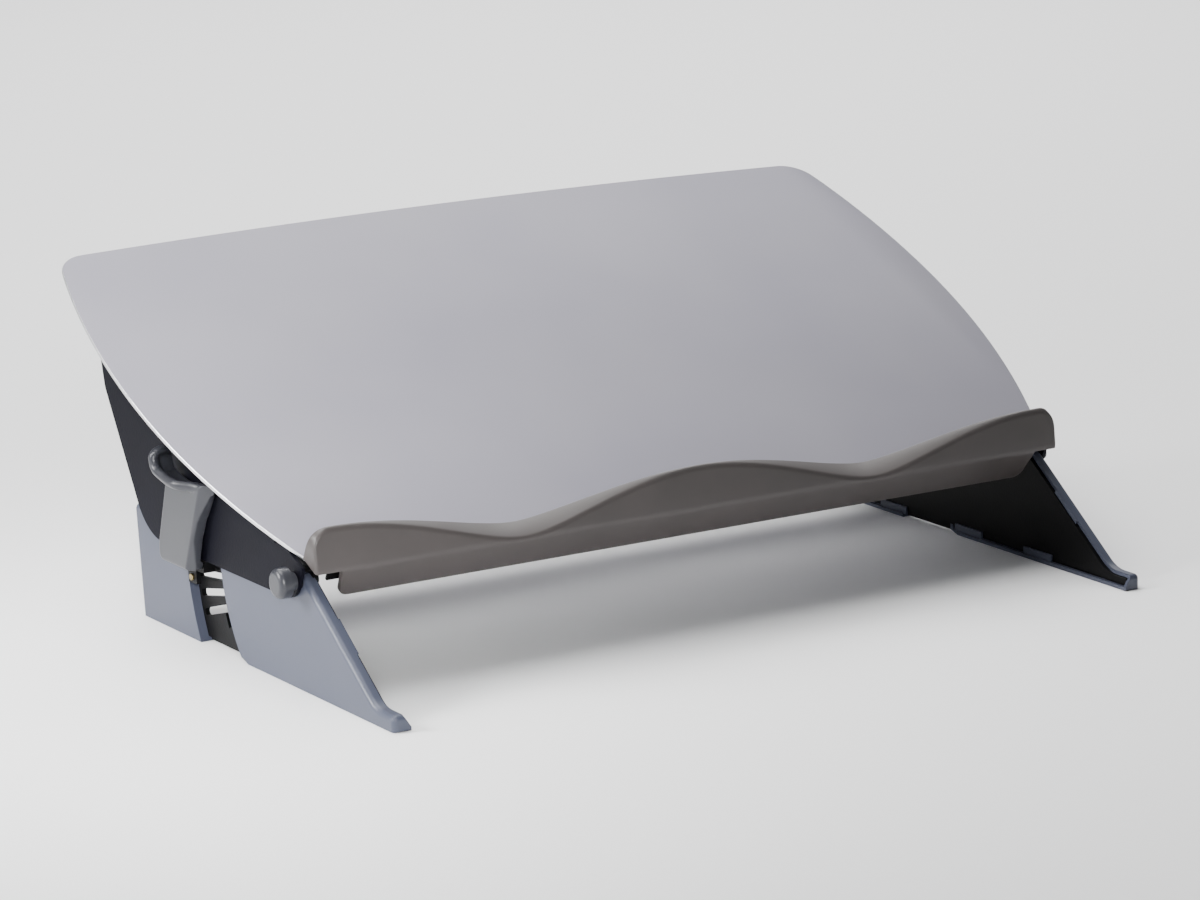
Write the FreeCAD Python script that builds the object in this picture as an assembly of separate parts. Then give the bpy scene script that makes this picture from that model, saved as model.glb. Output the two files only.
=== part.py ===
import FreeCAD, Part
import math
import os

Vector = FreeCAD.Vector

# A desk writing slope that straddles a keyboard: two legs, a tilting frame on a
# pivot in each leg, and a board with a wavy ledge that glides on the frame.
# Millimetres and degrees. X runs across the slope, Y away from the writer, Z up.
# Lengths are first laid out from the front toes on the table top.

# Legs
leg_outer = 250.0           # middle of the slope to the outer face of a leg
leg_depth = 10.8            # thickness of a leg at its foot
rim_depth = 6.6             # thickness of a leg above its foot
cover_wall = 2.0            # wall of the moulded leg covers
pivot_y = 100.0             # front toe to the pivot
pivot_z = 62.5              # table to the pivot
leg_top = 66.5              # table to the top edge of a leg
leg_rear_top = 300.6        # front toe to the top rear corner of a leg
leg_rear_foot = 294.0       # front toe to the bottom rear corner of a leg
toe_height = 9.2
toe_length = 19.5           # flat top of the toe
brow_y = 97.5               # where the sloping front edge would meet the top edge
toe_round = 3.0
instep_radius = 22.0
brow_radius = 22.0
heel_round = 4.0
foot_round = 0.8
edge_round = 3.2            # long outer edges of the covers, except along the foot
gusset_height = 8.5         # height of the slanted gusset inside the toe
channel_front = 93.7        # radius of the arc where the front cover ends
channel_rear = 136.1        # radius of the arc where the rear cover begins
heel_cut = 6.0              # length of the bevel at the foot of the front cover
heel_cut_rise = 2.4

# Inner plate of each leg
plate_thickness = 2.8
plate_inset = 2.2           # inner face of the foot to the inner face of the plate
plate_gap = 0.4             # play between the plate and the rims round it
plate_ear = 5.3             # radius of the plate round the pivot
plate_foot = 1.5            # table to the bare plate between the covers
slot_count = 4
slot_angle = 6.3            # fall of the highest slot below the level of the pivot
slot_pitch = 4.85           # angle from one slot to the next
slot_lean = 4.5             # lean of a slot from the line to the pivot
slot_width = 4.4
slot_middle = 116.5         # pivot to the middle of a slot
slot_length = 35.0
run_out_rear = 109.0        # radius of the rear side of the arc below the last slot
run_out_width = 5.0
run_out_gap = 1.7           # angle from the last slot to the arc
run_out_angle = 4.6

# Tabs of the covers that hold the inner plate
tab_length = 27.0
tab_height = 4.4            # top of a foot tab above the floor of the cover
tab_thickness = 1.2
bottom_tabs_front = (85.5, 154.5)
bottom_tab_rear = 232.5
rim_tab_length = 25.0
rim_tab_reach = 1.3          # how far the rim stands further inwards at its tab
rim_tab_share = 0.52        # place of the tab along the sloping front rim

# Rubber feet
foot_proud = 0.2            # pads stand out of the foot by this much
pad_thickness = 1.4
pad_margin = 1.3            # bare edge of the leg beside a pad
pad_clearance = 0.1
pads = ((10.0, 52.0), (238.0, 284.0))

# Tube that joins the legs behind the keyboard
tube_y = 270.0
tube_z = 44.0
tube_radius = 8.0
tube_wall = 1.5
plug_length = 14.0
tube_screw_radius = 3.0
tube_screw_head = 5.5
tube_screw_head_height = 2.4

# Pivots
pin_radius = 2.5
pin_head_radius = 4.5
pin_head_height = 1.5
pin_fit = 0.05              # radial play of a turning pin
cover_hole_play = 0.6
washer_radius = 4.6
washer_thickness = 0.6
arm_gap = 1.0               # outer face of a leg to the arm
knob_radius = 8.5
knob_length = 7.8
knob_dome = 3.4
knob_gap = 0.4
neck_radius = 5.0
neck_length = 4.2
cap_radius = 4.4            # flat cap on the right-hand pin
cap_height = 1.8
cap_round = 0.8
pin_grip = 8.0              # depth of the left-hand pin in the knob
cap_grip = 1.0              # depth of the right-hand pin in its cap

# Tilting frame
board_tilt = 24.7
board_over_pivot = 14.7     # pivot to the top face of the board, square to the board
arm_thickness = 2.0
arm_drop = 11.2             # pivot down to the bottom edge of an arm
arm_top_gap = 0.7           # board to the top edge of an arm
arm_front = 5.0             # pivot forward to the top front corner, along the board
arm_nose = 0.5              # pivot forward to where front and bottom edges would meet
arm_nose_radius = 16.0
arm_heel_y = 178.1          # pivot to where bottom and rear edges would meet
arm_heel_radius = 36.0
arm_rear_angle = 59.0       # rise of the rear edge
arm_rear_height = 79.0      # arm heel up to the end of the slanted rear edge
arm_length = 268.7          # pivot to the rear end of the top edge, along the board
arm_rear_round = 12.0
arm_front_round = 1.0
arm_tail_round = 3.0
rail_width = 20.0
rail_front = 1.3            # pivot forward to the front end of a rail
rail_length = 240.0
rail_wall = 1.6
rail_floor = 1.2
rail_lip = 3.4
rail_lip_thickness = 1.2
rail_under_pivot = 5.8      # pivot up to the underside of a rail, square to the board
glide_gap = 0.4             # board to rail, and rail to runner
rivet_radius = 1.6
rivet_head_radius = 3.0
rivet_head_height = 1.0
rail_rivets = (28.0, 126.0, 224.0)
bar_width = 24.0
bar_wall = 1.5
front_bar_depth = 5.0
rear_bar_depth = 12.0
front_bar_forward = 4.8     # pivot forward to the front edge of the front bar
rear_bar_s = 214.0          # pivot to the front edge of the rear bar
bar_end_gap = 3.2           # end of the front bar to the leg beside it
bar_rivet_inset = 2.6
buffer_length = 8.0

# Board and ledge
board_thickness = 2.5
board_corner_in = 1.0       # outer face of a leg in to the board's front corner
board_side_bow = 30.5       # how far the sides bow out from the front corners
board_start = 0.6           # pivot to where board and ledge meet
board_wide_s = 160.2        # pivot to the widest place
board_end = 305.6           # pivot to the middle of the top edge
board_draw_in = 19.5        # how far the sides come in again at the top edge
board_bow = 6.6             # rise of the top edge from corner to middle
board_corner = 20.0
ledge_past_leg = 0.2        # outer face of a leg out to the end of the ledge
ledge_height = 20.3
ledge_lean = 0.6            # run per rise of the front of the ledge
ledge_crest = 3.2           # thickness of the crests
ledge_base = 16.1           # depth of the ledge at the board
ledge_low = 1.0             # height left in the two dips
ledge_crest_in = 13.2       # end of the ledge in to where its crest turns down
ledge_fullness = 1.36       # lower makes the crests broader and the dips sharper
ledge_steps = 4             # points of the wave from a crest to a dip
ledge_lap = 0.4             # ledge below the top face of the board at its ends
ledge_nose_radius = 7.0
ledge_corner = 10.0         # radius of the top corners seen from the front
ledge_edge_round = 1.2
skirt_gap = 5.0             # inner face of a leg to the end of the skirt at its top
skirt_taper = 2.4
skirt_depth = 20.3
skirt_back = 3.3            # how far the skirt leans back
skirt_wall = 3.0
skirt_corner = 6.5
skirt_edge = 0.8
tongue_in = 8.0             # end of the skirt in to the end of the board's tongue
tongue_play = 0.2
ledge_screw_in = 16.0       # end of the tongue in to the outer screws
ledge_screw_near = 30.0     # middle of the slope to the inner screws
ledge_screw_back = 9.2      # nose of the ledge back to its screws
ledge_screw_radius = 1.75
ledge_screw_length = 9.0
ledge_screw_head = 3.3
ledge_screw_head_height = 1.8
screw_play = 0.35
thread_play = 0.05
runner_stem = 7.4
runner_flange = 12.4
runner_start = 5.0
runner_length = 225.0
glide_travel = 75.0
stop_width = 60.0
stop_length = 9.0
stop_gap = 0.5
stop_rise = 1.0             # underside of the front bar up to the stop

# Release levers
lever_seat = 2.6            # turn of a lever from rest until its tooth is seated
lever_release = 5.0         # turn of a lever from rest the other way
lever_axis_y = 118.0        # pivot to the middle of the lever's hinge pin
lever_axis_up = 25.0        # pivot up to the hinge pin
lever_axis_out = 4.0        # arm out to the hinge pin
lever_depth = 9.0           # arm out to the outer face of the lever
lever_gap = 0.4
lever_wall = 2.2
lever_round = 1.6
lever_low = 16.9            # pivot down to the bottom edge of the lever
lever_toe = 108.5           # pivot to the lower front corner of the lever
lever_toe_round = 2.5
lever_heel = 146.6          # pivot to the lower rear corner of the lever
lever_heel_round = 4.5
lever_back = 146.2          # pivot to where the rear edge starts to lean forward
lever_back_low = 6.0        # pivot down to that place
lever_back_round = 12.0
lever_rear_top = 134.6      # pivot to the rear edge below the scoop
lever_front_top = 88.0      # pivot to the front edge below the scoop
lever_throat = 99.5         # pivot to the hollow of the front edge
lever_throat_up = 14.0
lever_throat_round = 8.0
lever_shin = 104.5          # pivot to the middle of the front edge
lever_shin_up = 2.0
lever_shin_round = 15.0
lever_top = 31.5            # pivot up to where the body ends inside the scoop
lever_ceiling = 29.0        # pivot up to the top of the hollow
scoop_out = 8.5             # how far the scoop stands out from the lever
scoop_front = 86.5          # pivot to the front end of the scoop
scoop_under = 30.5          # pivot up to the underside of the scoop at its front
scoop_bow = 118.0           # pivot to where its underside begins to rise
scoop_bow_rise = 1.2
scoop_bow_round = 40.0
scoop_bend = 136.5          # pivot to where it turns up
scoop_bend_rise = 5.2
scoop_bend_round = 10.0
scoop_inner_round = 3.4
scoop_back = 140.2          # pivot to the back of the scoop
scoop_back_rise = 14.0
scoop_tip = 138.2           # pivot to the tip of the scoop
scoop_tip_rise = 21.5
scoop_tip_lean = 1.5        # how much lower the tip ends on its front side
scoop_end_round = 1.2
scoop_thickness = 5.8
scoop_lip = 3.0             # thickness of the lip on the scoop's outer edge
scoop_lip_height = 2.4
scoop_corner = 9.0
scoop_plan_start = 95.0     # pivot to where the scoop starts to stand out
scoop_plan_full = 114.0     # pivot to where it stands out fully
scoop_plan_round = 20.0
scoop_relief = 2.0          # arm to the inner side of the scoop
hinge_pin_radius = 1.2
hinge_pin_length = 35.0
hinge_pin_end_play = 0.3    # bore of the lever before the front end of the pin
ear_thickness = 2.0
ear_spread = 20.0           # outside width over the two ears
ear_radius = 2.4
bracket_thickness = 1.2
bracket_height = 13.0
bracket_rivet_spread = 10.0
bracket_rivet_drop = 5.5    # hinge pin down to the rivets
bracket_rivet_head = 0.8
spring_wire = 0.7
spring_radius = 1.8
spring_turns = 6
tooth_thickness = 3.3
tooth_length = 23.0
tooth_middle = 119.0        # pivot to the middle of the tooth
tooth_gap = 0.25            # tip of the tooth at rest to the plate
carrier_gap = 2.1           # carrier at rest to the plate
carrier_rise = 0.3          # middle of the tooth up to the top of the carrier
carrier_height = 6.2
carrier_trim = 4.8          # height cut away where the carrier enters the lever
carrier_step = 3.8          # length cut away there, behind the lever's front wall
tail_gap = 4.8              # plate out to the inner face of the tail
tail_length = 10.0
tail_height = 9.0
tail_thickness = 2.6
tail_pin_radius = 2.0
tail_pin_length = 4.0
rib_thickness = 3.0
rib_half = 2.6

# Values worked out from the dimensions above
leg_inner = leg_outer - leg_depth
plate_in = leg_inner + plate_inset
plate_out = plate_in + plate_thickness
cover_in = leg_outer - cover_wall
rim_in = leg_outer - rim_depth
arm_in = leg_outer + arm_gap
arm_out = arm_in + arm_thickness
knob_in = arm_out + knob_gap
board_half_front = leg_outer - board_corner_in
board_half_max = board_half_front + board_side_bow
board_half_end = board_half_max - board_draw_in
ledge_half = leg_outer + ledge_past_leg
ledge_dip = (ledge_half - ledge_crest_in) / 2
skirt_half = leg_inner - skirt_gap
tongue_half = skirt_half - tongue_in
ledge_screw_far = tongue_half - ledge_screw_in
ledge_screws = (-ledge_screw_far, -ledge_screw_near, ledge_screw_near, ledge_screw_far)
tail_in = plate_out + tail_gap
board_under = board_over_pivot - board_thickness
rail_top = board_under - glide_gap
rail_in = arm_in - rail_width
lip_under = rail_top - rail_lip_thickness
runner_top = lip_under - glide_gap
runner_under = rail_under_pivot + rail_floor + glide_gap
front_bar_under = rail_under_pivot - front_bar_depth
runner_middle = arm_in - rail_width / 2
nose_run = board_start - ledge_base
far_corner_y = pivot_y + board_end * math.cos(math.radians(board_tilt)) \
    - board_under * math.sin(math.radians(board_tilt))
overall_depth = far_corner_y
row_shift = Vector(0, -overall_depth / 2, 0)
slope_place = FreeCAD.Placement(
    Vector(0, pivot_y, pivot_z), FreeCAD.Rotation(Vector(1, 0, 0), board_tilt))


# Helpers

def rounded_points(corners):
    """Edges of a closed outline; each corner is (first, second, radius)."""
    count = len(corners)
    edges = []
    joints = []
    for index in range(count):
        before = Vector(corners[index - 1][0], corners[index - 1][1], 0)
        here = Vector(corners[index][0], corners[index][1], 0)
        after = Vector(corners[(index + 1) % count][0], corners[(index + 1) % count][1], 0)
        radius = corners[index][2]
        to_before = (before - here).normalize()
        to_after = (after - here).normalize()
        half = to_before.getAngle(to_after) / 2
        if radius <= 0 or abs(half - math.pi / 2) < 1e-6:
            joints.append((here, None, here))
            continue
        reach = radius / math.tan(half)
        middle = (to_before + to_after).normalize()
        belly = here + middle * (radius / math.sin(half) - radius)
        joints.append((here + to_before * reach, belly, here + to_after * reach))
    for index in range(count):
        start, belly, end = joints[index]
        if belly is not None:
            edges.append(Part.Arc(start, belly, end).toShape())
        following = joints[(index + 1) % count][0]
        if (following - end).Length > 1e-6:
            edges.append(Part.makeLine(end, following))
    return edges


def prism_x(corners, x_start, x_end):
    """Solid with its outline in Y and Z, between two X values."""
    wire = Part.Wire(rounded_points(corners))
    face = Part.Face(wire)
    solid = face.extrude(Vector(0, 0, x_end - x_start))
    turn = FreeCAD.Rotation(Vector(1, 0, 0), Vector(0, 1, 0), Vector(0, 0, 1), "XYZ")
    solid.Placement = FreeCAD.Placement(Vector(x_start, 0, 0), FreeCAD.Rotation(
        Vector(0, 1, 0), Vector(0, 0, 1), Vector(1, 0, 0), "XYZ")).multiply(
            FreeCAD.Placement(Vector(), turn))
    return solid


def prism_z(corners, z_start, z_end):
    """Solid with its outline in X and Y, between two Z values."""
    wire = Part.Wire(rounded_points(corners))
    solid = Part.Face(wire).extrude(Vector(0, 0, z_end - z_start))
    solid.translate(Vector(0, 0, z_start))
    return solid


def prism_y(corners, y_start, y_end):
    """Solid with its outline in X and Z, between two Y values."""
    wire = Part.Wire(rounded_points(corners))
    solid = Part.Face(wire).extrude(Vector(0, 0, y_end - y_start))
    solid.rotate(Vector(), Vector(1, 0, 0), 90)
    solid.translate(Vector(0, y_end, 0))
    return solid


def block(x_range, y_range, z_range):
    """Box between three pairs of values."""
    size = (x_range[1] - x_range[0], y_range[1] - y_range[0], z_range[1] - z_range[0])
    return Part.makeBox(size[0], size[1], size[2], Vector(x_range[0], y_range[0], z_range[0]))


def rod_x(radius, x_start, x_end, y, z):
    """Round bar along X."""
    return Part.makeCylinder(radius, x_end - x_start, Vector(x_start, y, z), Vector(1, 0, 0))


def rod_y(radius, y_start, y_end, x, z):
    """Round bar along Y."""
    return Part.makeCylinder(radius, y_end - y_start, Vector(x, y_start, z), Vector(0, 1, 0))


def rod_z(radius, z_start, z_end, x, y):
    """Round bar along Z."""
    return Part.makeCylinder(radius, z_end - z_start, Vector(x, y, z_start), Vector(0, 0, 1))


def on_slope(shape):
    """Place a piece that was laid out on the board, with the pivot as its zero."""
    placed = shape.copy()
    placed.Placement = slope_place.multiply(placed.Placement)
    return placed


def slope_point(run, rise):
    """Y and Z of a point given along and square to the board from the pivot."""
    angle = math.radians(board_tilt)
    return (pivot_y + run * math.cos(angle) - rise * math.sin(angle),
            pivot_z + run * math.sin(angle) + rise * math.cos(angle))


def mirrored(shape):
    """The same piece for the left side."""
    return shape.mirror(Vector(), Vector(1, 0, 0))


def save(name, shape):
    """Write one node in the frame whose origin is under the middle of the whole."""
    moved = shape.copy()
    moved.translate(row_shift)
    moved.exportStep("parts/" + name + ".step")


def save_pair(name, shape):
    """Write a right-hand piece and its left-hand mirror image."""
    save(name + "_right", shape)
    save(name + "_left", mirrored(shape))


# Legs

def leg_corners(inset, sink=0):
    """Outline of a leg, of a smaller one inset by so much, or one that goes on below by sink."""
    slope = math.atan2(leg_top - toe_height, brow_y - toe_length)
    heel = math.atan2(leg_top - foot_proud, leg_rear_top - leg_rear_foot)
    low = foot_proud + inset
    high = leg_top - inset
    toe_top = toe_height - inset
    along = inset * math.tan(slope / 2)
    lean = inset / math.sin(heel)
    rear_run = (leg_rear_top - leg_rear_foot) / (leg_top - foot_proud)
    rear_low = leg_rear_foot - lean + rear_run * (inset - sink)
    rear_high = leg_rear_top - lean - rear_run * inset
    return [
        (inset, low - sink, max(foot_round - inset, 0)),
        (inset, toe_top, max(toe_round - inset, 0)),
        (toe_length + along, toe_top, instep_radius + inset),
        (brow_y + along, high, brow_radius - inset),
        (rear_high, high, max(heel_round - inset, 0)),
        (rear_low, low - sink, max(foot_round - inset, 0)),
    ]


def behind_arc(radius):
    """Everything behind an arc about the pivot."""
    reach = 2 * leg_rear_top
    space = block((leg_inner - 1, leg_outer + 1), (pivot_y, reach), (-reach, reach))
    return space.cut(rod_x(radius, leg_inner - 2, leg_outer + 2, pivot_y, pivot_z))


def cover_shell(outer, inner):
    """Hollow a cover from its inner side and step its rims above the foot."""
    shell = outer.cut(inner)
    rise = foot_proud + cover_wall
    step = prism_y([
        (leg_inner - 1, rise, 0),
        (leg_inner, rise, 0),
        (rim_in, gusset_height, 0),
        (rim_in, 2 * leg_top, 0),
        (leg_inner - 1, 2 * leg_top, 0)], -1, leg_rear_top + 1)
    return shell.cut(step)


def snap_tab(y_middle):
    """Low tab on the foot that keeps the plate in."""
    return block((plate_in - plate_gap / 2 - tab_thickness, plate_in - plate_gap / 2),
                 (y_middle - tab_length / 2, y_middle + tab_length / 2),
                 (foot_proud + cover_wall - 0.2, foot_proud + cover_wall + tab_height))


def rim_tab():
    """Wider place in the sloping front rim, in front of the plate's edge."""
    slope = math.atan2(leg_top - toe_height, brow_y - toe_length)
    middle_y = toe_length + rim_tab_share * (brow_y - toe_length)
    middle_z = toe_height + rim_tab_share * (leg_top - toe_height)
    tab = block((rim_in - rim_tab_reach, rim_in + 0.2),
                (-rim_tab_length / 2, rim_tab_length / 2), (-cover_wall, -0.2))
    tab.rotate(Vector(), Vector(1, 0, 0), math.degrees(slope))
    tab.translate(Vector(0, middle_y, middle_z))
    return tab


def pad_space(play):
    """The two rubber pads under a leg, or their recesses with a little play."""
    space = []
    for start, end in pads:
        space.append(block((leg_inner + pad_margin - play, leg_outer - pad_margin + play),
                           (start - play, end + play), (0, pad_thickness + play)))
    return Part.makeCompound(space)


def plate_body(play):
    """Inner plate of a leg without its slots, or the space it needs with play."""
    inset = cover_wall + plate_gap - play
    plate = prism_x(leg_corners(inset), plate_in - play, plate_out + play)
    ear = rod_x(plate_ear + play, plate_in - play, plate_out + play, pivot_y, pivot_z)
    return plate.fuse(ear).removeSplitter()


def front_cover():
    """Moulded cover of the front of a leg, from toe to channel."""
    outer = leg_body().cut(behind_arc(channel_front))
    inner = prism_x(leg_corners(cover_wall), leg_inner - 1, cover_in)
    inner = inner.cut(behind_arc(channel_front - cover_wall))
    cover = cover_shell(outer, inner)
    for middle in bottom_tabs_front:
        cover = cover.fuse(snap_tab(middle))
    cover = cover.fuse(rim_tab())
    cover = cover.cut(plate_body(plate_gap / 2))
    cover = cover.cut(rod_x(pin_radius + cover_hole_play, leg_inner, leg_outer + 1,
                            pivot_y, pivot_z))
    cover = cover.cut(pad_space(pad_clearance))
    drop = pivot_z - foot_proud
    heel = pivot_y + math.sqrt(channel_front ** 2 - drop ** 2)
    bevel = prism_x([(heel - heel_cut, -1, 0), (heel - heel_cut, foot_proud, 0),
                     (heel + 2, foot_proud + heel_cut_rise, 0), (heel + 2, -1, 0)],
                    leg_inner - 1, leg_outer + 1)
    return cover.cut(bevel)


def rear_cover():
    """Moulded cover of the rear of a leg, behind the channel."""
    outer = leg_body().common(behind_arc(channel_rear))
    inner = prism_x(leg_corners(cover_wall), leg_inner - 1, cover_in)
    inner = inner.common(behind_arc(channel_rear + cover_wall))
    cover = cover_shell(outer, inner)
    cover = cover.fuse(snap_tab(bottom_tab_rear))
    cover = cover.cut(plate_body(plate_gap / 2))
    return cover.cut(pad_space(pad_clearance))


def leg_body():
    """Whole outside of a leg, with its outer edges rounded except along the foot."""
    body = prism_x(leg_corners(0, 2 * edge_round), leg_inner, leg_outer)
    edges = [edge for edge in body.Edges
             if edge.BoundBox.XMin > leg_outer - 1e-3]
    body = body.makeFillet(edge_round, edges)
    return body.common(prism_x(leg_corners(0), leg_inner, leg_outer))


def in_comb(shape, middle, index):
    """Bring a shape laid out along Y about its middle to its place in the comb."""
    placed = shape.copy()
    placed.rotate(Vector(0, middle, 0), Vector(1, 0, 0), slot_lean)
    placed.rotate(Vector(), Vector(1, 0, 0), -slot_angle - index * slot_pitch)
    placed.translate(Vector(0, pivot_y, pivot_z))
    return placed


def slot_shape(index):
    """One slot of the comb, numbered from the highest."""
    start = slot_middle - slot_length / 2
    end = slot_middle + slot_length / 2
    half = slot_width / 2
    soft = 0.95 * half
    slot = prism_x([(start, -half, soft), (end, -half, soft), (end, half, soft),
                    (start, half, soft)], plate_in - 1, plate_out + 1)
    return in_comb(slot, slot_middle, index)


def run_out():
    """Arc-shaped slit below the last slot of the left-hand plate, about the pivot."""
    low = slot_angle + (slot_count - 1) * slot_pitch + run_out_gap
    ring = rod_x(run_out_rear, plate_in - 1, plate_out + 1, pivot_y, pivot_z)
    ring = ring.cut(rod_x(run_out_rear - run_out_width, plate_in - 2, plate_out + 2,
                          pivot_y, pivot_z))
    reach = 2 * run_out_rear
    spread = math.radians(run_out_angle)
    far = (reach * math.cos(spread), -reach * math.sin(spread), 0)
    wedge = prism_x([(0, 0, 0), (reach, 0, 0), far], plate_in - 2, plate_out + 2)
    wedge.rotate(Vector(), Vector(1, 0, 0), -low)
    wedge.translate(Vector(0, pivot_y, pivot_z))
    return ring.common(wedge)


def inner_plate(has_run_out):
    """Steel plate inside a leg, with the comb of slots that sets the tilt."""
    plate = plate_body(0)
    drop = pivot_z - foot_proud
    heel = pivot_y + math.sqrt(channel_front ** 2 - drop ** 2)
    back = pivot_y + math.sqrt(channel_rear ** 2 - drop ** 2)
    tongue = block((plate_in, plate_out), (heel + 2, back - 2),
                   (plate_foot, foot_proud + cover_wall + 2))
    plate = plate.fuse(tongue)
    for index in range(slot_count):
        plate = plate.cut(slot_shape(index))
    if has_run_out:
        plate = plate.cut(run_out())
    plate = plate.cut(rod_x(pin_radius, plate_in - 1, plate_out + 1, pivot_y, pivot_z))
    plate = plate.cut(rod_x(tube_screw_radius + screw_play, plate_in - 1, plate_out + 1,
                            tube_y, tube_z))
    return plate.removeSplitter()


def cross_tube():
    """Tube between the two inner plates, behind the keyboard."""
    tube = rod_x(tube_radius, -plate_in, plate_in, tube_y, tube_z)
    return tube.cut(rod_x(tube_radius - tube_wall, -plate_in - 1, plate_in + 1, tube_y, tube_z))


def tube_plug():
    """Threaded plug in the right-hand end of the tube."""
    plug = rod_x(tube_radius - tube_wall, plate_in - plug_length, plate_in, tube_y, tube_z)
    return plug.cut(rod_x(tube_screw_radius + thread_play, plate_in - plug_length - 1,
                          plate_in + 1, tube_y, tube_z))


def tube_screw():
    """Screw through the right-hand plate into the plug."""
    shank = rod_x(tube_screw_radius, plate_in - plug_length + 2, plate_out, tube_y, tube_z)
    head = rod_x(tube_screw_head, plate_out, plate_out + tube_screw_head_height, tube_y, tube_z)
    socket = hexagon_x(tube_screw_radius, plate_out + tube_screw_head_height / 2,
                       plate_out + tube_screw_head_height + 1, tube_y, tube_z)
    return shank.fuse(head).cut(socket).removeSplitter()


def hexagon_x(radius, x_start, x_end, y, z):
    """Six-sided bar along X."""
    corners = []
    for index in range(6):
        angle = math.radians(60 * index)
        corners.append((y + radius * math.cos(angle), z + radius * math.sin(angle), 0))
    return prism_x(corners, x_start, x_end)


def pivot_pin(grip):
    """Pin riveted in the right-hand plate, that goes into a knob or cap by grip."""
    shank = rod_x(pin_radius, plate_in, knob_in + grip, pivot_y, pivot_z)
    head = rod_x(pin_head_radius, plate_in - pin_head_height, plate_in, pivot_y, pivot_z)
    rim = [edge for edge in head.Edges
           if abs(edge.BoundBox.XMax - (plate_in - pin_head_height)) < 1e-3
           and edge.Length > pin_head_radius]
    return shank.fuse(head.makeFillet(pin_head_height / 2, rim)).removeSplitter()


def pivot_washer():
    """Nylon washer between a leg and its arm."""
    washer = rod_x(washer_radius, leg_outer, leg_outer + washer_thickness, pivot_y, pivot_z)
    return washer.cut(rod_x(pin_radius + pin_fit, leg_outer - 1, leg_outer + arm_gap,
                            pivot_y, pivot_z))


def knob():
    """Domed knob on a neck, laid out on the right; only the left-hand pin has it."""
    start = knob_in + neck_length
    body = rod_x(knob_radius, start, start + knob_length, pivot_y, pivot_z)
    rim = [edge for edge in body.Edges
           if abs(edge.BoundBox.XMin - (start + knob_length)) < 1e-3]
    body = body.makeFillet(knob_dome, rim)
    body = body.fuse(rod_x(neck_radius, knob_in, start, pivot_y, pivot_z))
    return body.cut(rod_x(pin_radius, knob_in - 1, knob_in + pin_grip, pivot_y, pivot_z))


def pin_cap():
    """Flat cap pressed on the right-hand pin."""
    body = rod_x(cap_radius, knob_in, knob_in + cap_height, pivot_y, pivot_z)
    rim = [edge for edge in body.Edges
           if abs(edge.BoundBox.XMin - (knob_in + cap_height)) < 1e-3]
    body = body.makeFillet(cap_round, rim)
    return body.cut(rod_x(pin_radius, knob_in - 1, knob_in + cap_grip, pivot_y, pivot_z))


# Tilting frame

def arm():
    """Side plate of the tilting frame."""
    top = board_under - arm_top_gap
    front = slope_point(-arm_front, top)
    rear = slope_point(arm_length, top)
    bottom = pivot_z - arm_drop
    heel = (pivot_y + arm_heel_y, bottom)
    run = arm_rear_height / math.tan(math.radians(arm_rear_angle))
    shoulder = (heel[0] + run, heel[1] + arm_rear_height)
    plate = prism_x([
        (front[0], front[1], arm_front_round),
        (pivot_y - arm_nose, bottom, arm_nose_radius),
        (heel[0], heel[1], arm_heel_radius),
        (shoulder[0], shoulder[1], arm_rear_round),
        (rear[0], rear[1], arm_tail_round)], arm_in, arm_out)
    plate = plate.cut(rod_x(pin_radius + pin_fit, arm_in - 1, arm_out + 1, pivot_y, pivot_z))
    for run in rail_rivets:
        y, z = slope_point(run, rail_rivet_rise())
        plate = plate.cut(rod_x(rivet_radius, arm_in - 1, arm_out + 1, y, z))
    for y, z in bracket_rivet_places():
        plate = plate.cut(rod_x(rivet_radius, arm_in - 1, arm_out + 1, y, z))
    return plate


def rail_rivet_rise():
    """Height of the rail rivets above the pivot, square to the board."""
    return (rail_under_pivot + rail_floor + lip_under) / 2


def rail():
    """Channel under the board that guides a runner."""
    start = -rail_front
    end = start + rail_length
    channel = block((rail_in, arm_in), (start, end), (rail_under_pivot, rail_top))
    cavity = block((rail_in + rail_wall, arm_in - rail_wall), (start - 1, end + 1),
                   (rail_under_pivot + rail_floor, lip_under))
    mouth = block((rail_in + rail_lip + rail_wall, arm_in - rail_lip - rail_wall),
                  (start - 1, end + 1), (lip_under - 1, rail_top + 1))
    channel = channel.cut(cavity).cut(mouth)
    for run in rail_rivets:
        channel = channel.cut(rod_x(rivet_radius, arm_in - rail_wall - 1, arm_in + 1,
                                    run, rail_rivet_rise()))
    for x, run in bar_rivet_places():
        channel = channel.cut(rod_z(rivet_radius, rail_under_pivot - 1,
                                    rail_under_pivot + rail_floor + 0.1, x, run))
    return on_slope(channel)


def rail_rivet_set():
    """Rivets that hold the right-hand rail to its arm."""
    rivets = []
    for run in rail_rivets:
        shank = rod_x(rivet_radius, arm_in - rail_wall, arm_out, run, rail_rivet_rise())
        rivets.append(on_slope(shank.fuse(rivet_head_x(run, rail_rivet_rise(), arm_out))))
    return rivets


def rivet_head_x(y, z, x):
    """Low domed rivet head that faces outwards along X."""
    head = rod_x(rivet_head_radius, x, x + rivet_head_height, y, z)
    rim = [edge for edge in head.Edges if abs(edge.BoundBox.XMin - (x + rivet_head_height)) < 1e-3]
    return head.makeFillet(0.7 * rivet_head_height, rim)


def bar_rivet_places():
    """X and run of the rivets between rails and cross bars, right-hand side."""
    bar_x = (rail_in + leg_inner - bar_end_gap) / 2
    front = -front_bar_forward + bar_width / 2
    rear = rear_bar_s + bar_width / 2
    return [(bar_x, front), (bar_x, rear)]


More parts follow.
